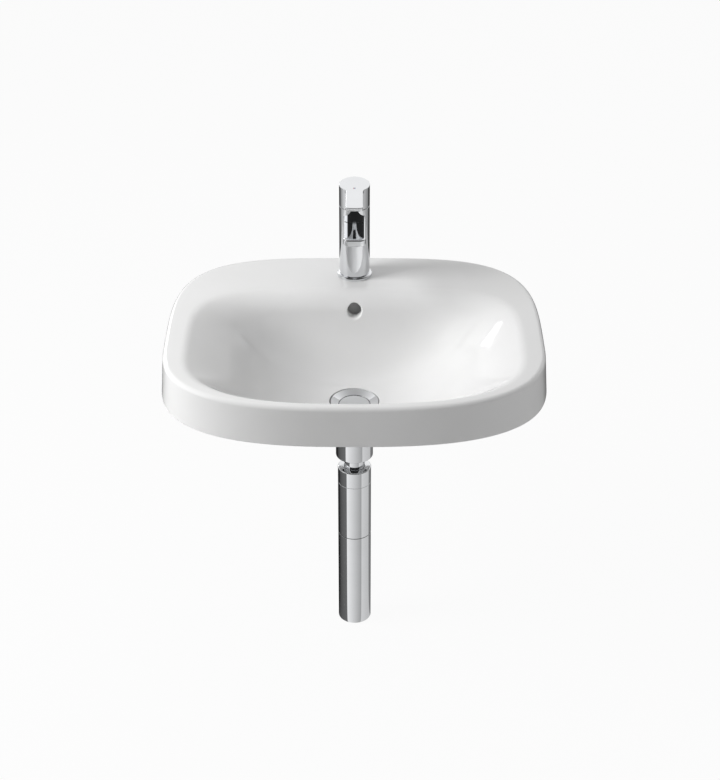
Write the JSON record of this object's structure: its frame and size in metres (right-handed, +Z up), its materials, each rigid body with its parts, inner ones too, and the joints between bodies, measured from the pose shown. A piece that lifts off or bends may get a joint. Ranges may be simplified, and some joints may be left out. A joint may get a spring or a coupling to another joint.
{
  "type": "inset basin",
  "caption": "Inset ceramic basin with a rounded oblong rim and deep bowl, carrying a single-lever mixer on its rear deck, a push-plug waste and a bottle trap with a wall outlet.",
  "frame": {"origin": "on the worktop, at the middle of the width and depth of the rim's foot", "axes": "+Z up, +Y to the back towards the wall, +X to the right of a user who stands at -Y"},
  "size_m": [0.5, 0.59, 0.5891],
  "materials": {
    "white_glaze": "smooth gloss white glaze over vitreous china",
    "chrome": "bright polished chrome plating on brass",
    "raw_brass": "plain turned brass",
    "steel": "bright zinc-plated steel",
    "black_rubber": "matt black sealing rubber",
    "cartridge_plastic": "moulded pale grey plastic",
    "disc_ceramic": "lapped off-white technical ceramic",
    "index_plastic": "small red and blue index mark",
    "aerator_plastic": "moulded grey plastic mesh"
  },
  "bodies": {
    "basin_fixed": {"basin_body": "white_glaze", "waste_body": "chrome", "trap_inlet_nut": "chrome", "dip_tube": "chrome", "trap_top_nut": "chrome", "trap_body": "chrome", "trap_cup": "chrome", "outlet_nut": "chrome", "outlet_pipe": "chrome", "wall_rosette": "chrome", "base_ring": "chrome", "mixer_body": "chrome", "dome_cap": "chrome", "aerator_housing": "chrome", "waste_backnut": "raw_brass", "click_cartridge": "raw_brass", "cartridge_nut": "raw_brass", "inlet_block": "raw_brass", "fixing_stud": "steel", "clamp_plate": "steel", "fixing_nut": "steel", "waste_top_washer": "black_rubber", "waste_bottom_seal": "black_rubber", "inlet_washer": "black_rubber", "dip_seal": "black_rubber", "cup_seal": "black_rubber", "outlet_seal": "black_rubber", "base_seal": "black_rubber", "cartridge_seal": "black_rubber", "aerator_seal": "black_rubber", "clamp_rubber": "black_rubber", "cartridge_base": "cartridge_plastic", "cartridge_housing": "cartridge_plastic", "fixed_disc": "disc_ceramic", "aerator_insert": "aerator_plastic"},
    "mixing_carrier": {"cartridge_carrier": "cartridge_plastic", "pivot_pin": "steel", "moving_disc": "disc_ceramic"},
    "lever": {"lever_stem": "steel", "lever_handle": "chrome", "handle_screw": "steel", "index_marker": "index_plastic"},
    "plug": {"waste_plug": "chrome", "plug_stem": "steel", "plug_seal": "black_rubber"}
  },
  "joints": [
    {"name": "lever_turn", "type": "hinge", "parent": "basin_fixed", "child": "mixing_carrier", "pos_m": [0, 0.155, 0.15], "axis": [0, 0, 1], "range_deg": [-45, 45]},
    {"name": "lever_lift", "type": "hinge", "parent": "mixing_carrier", "child": "lever", "pos_m": [0, 0.155, 0.15], "axis": [-1, 0, 0], "range_deg": [0, 22]},
    {"name": "plug_slide", "type": "slide", "parent": "basin_fixed", "child": "plug", "axis": [0, 0, 1], "range_m": [0, 0.007]}
  ]
}
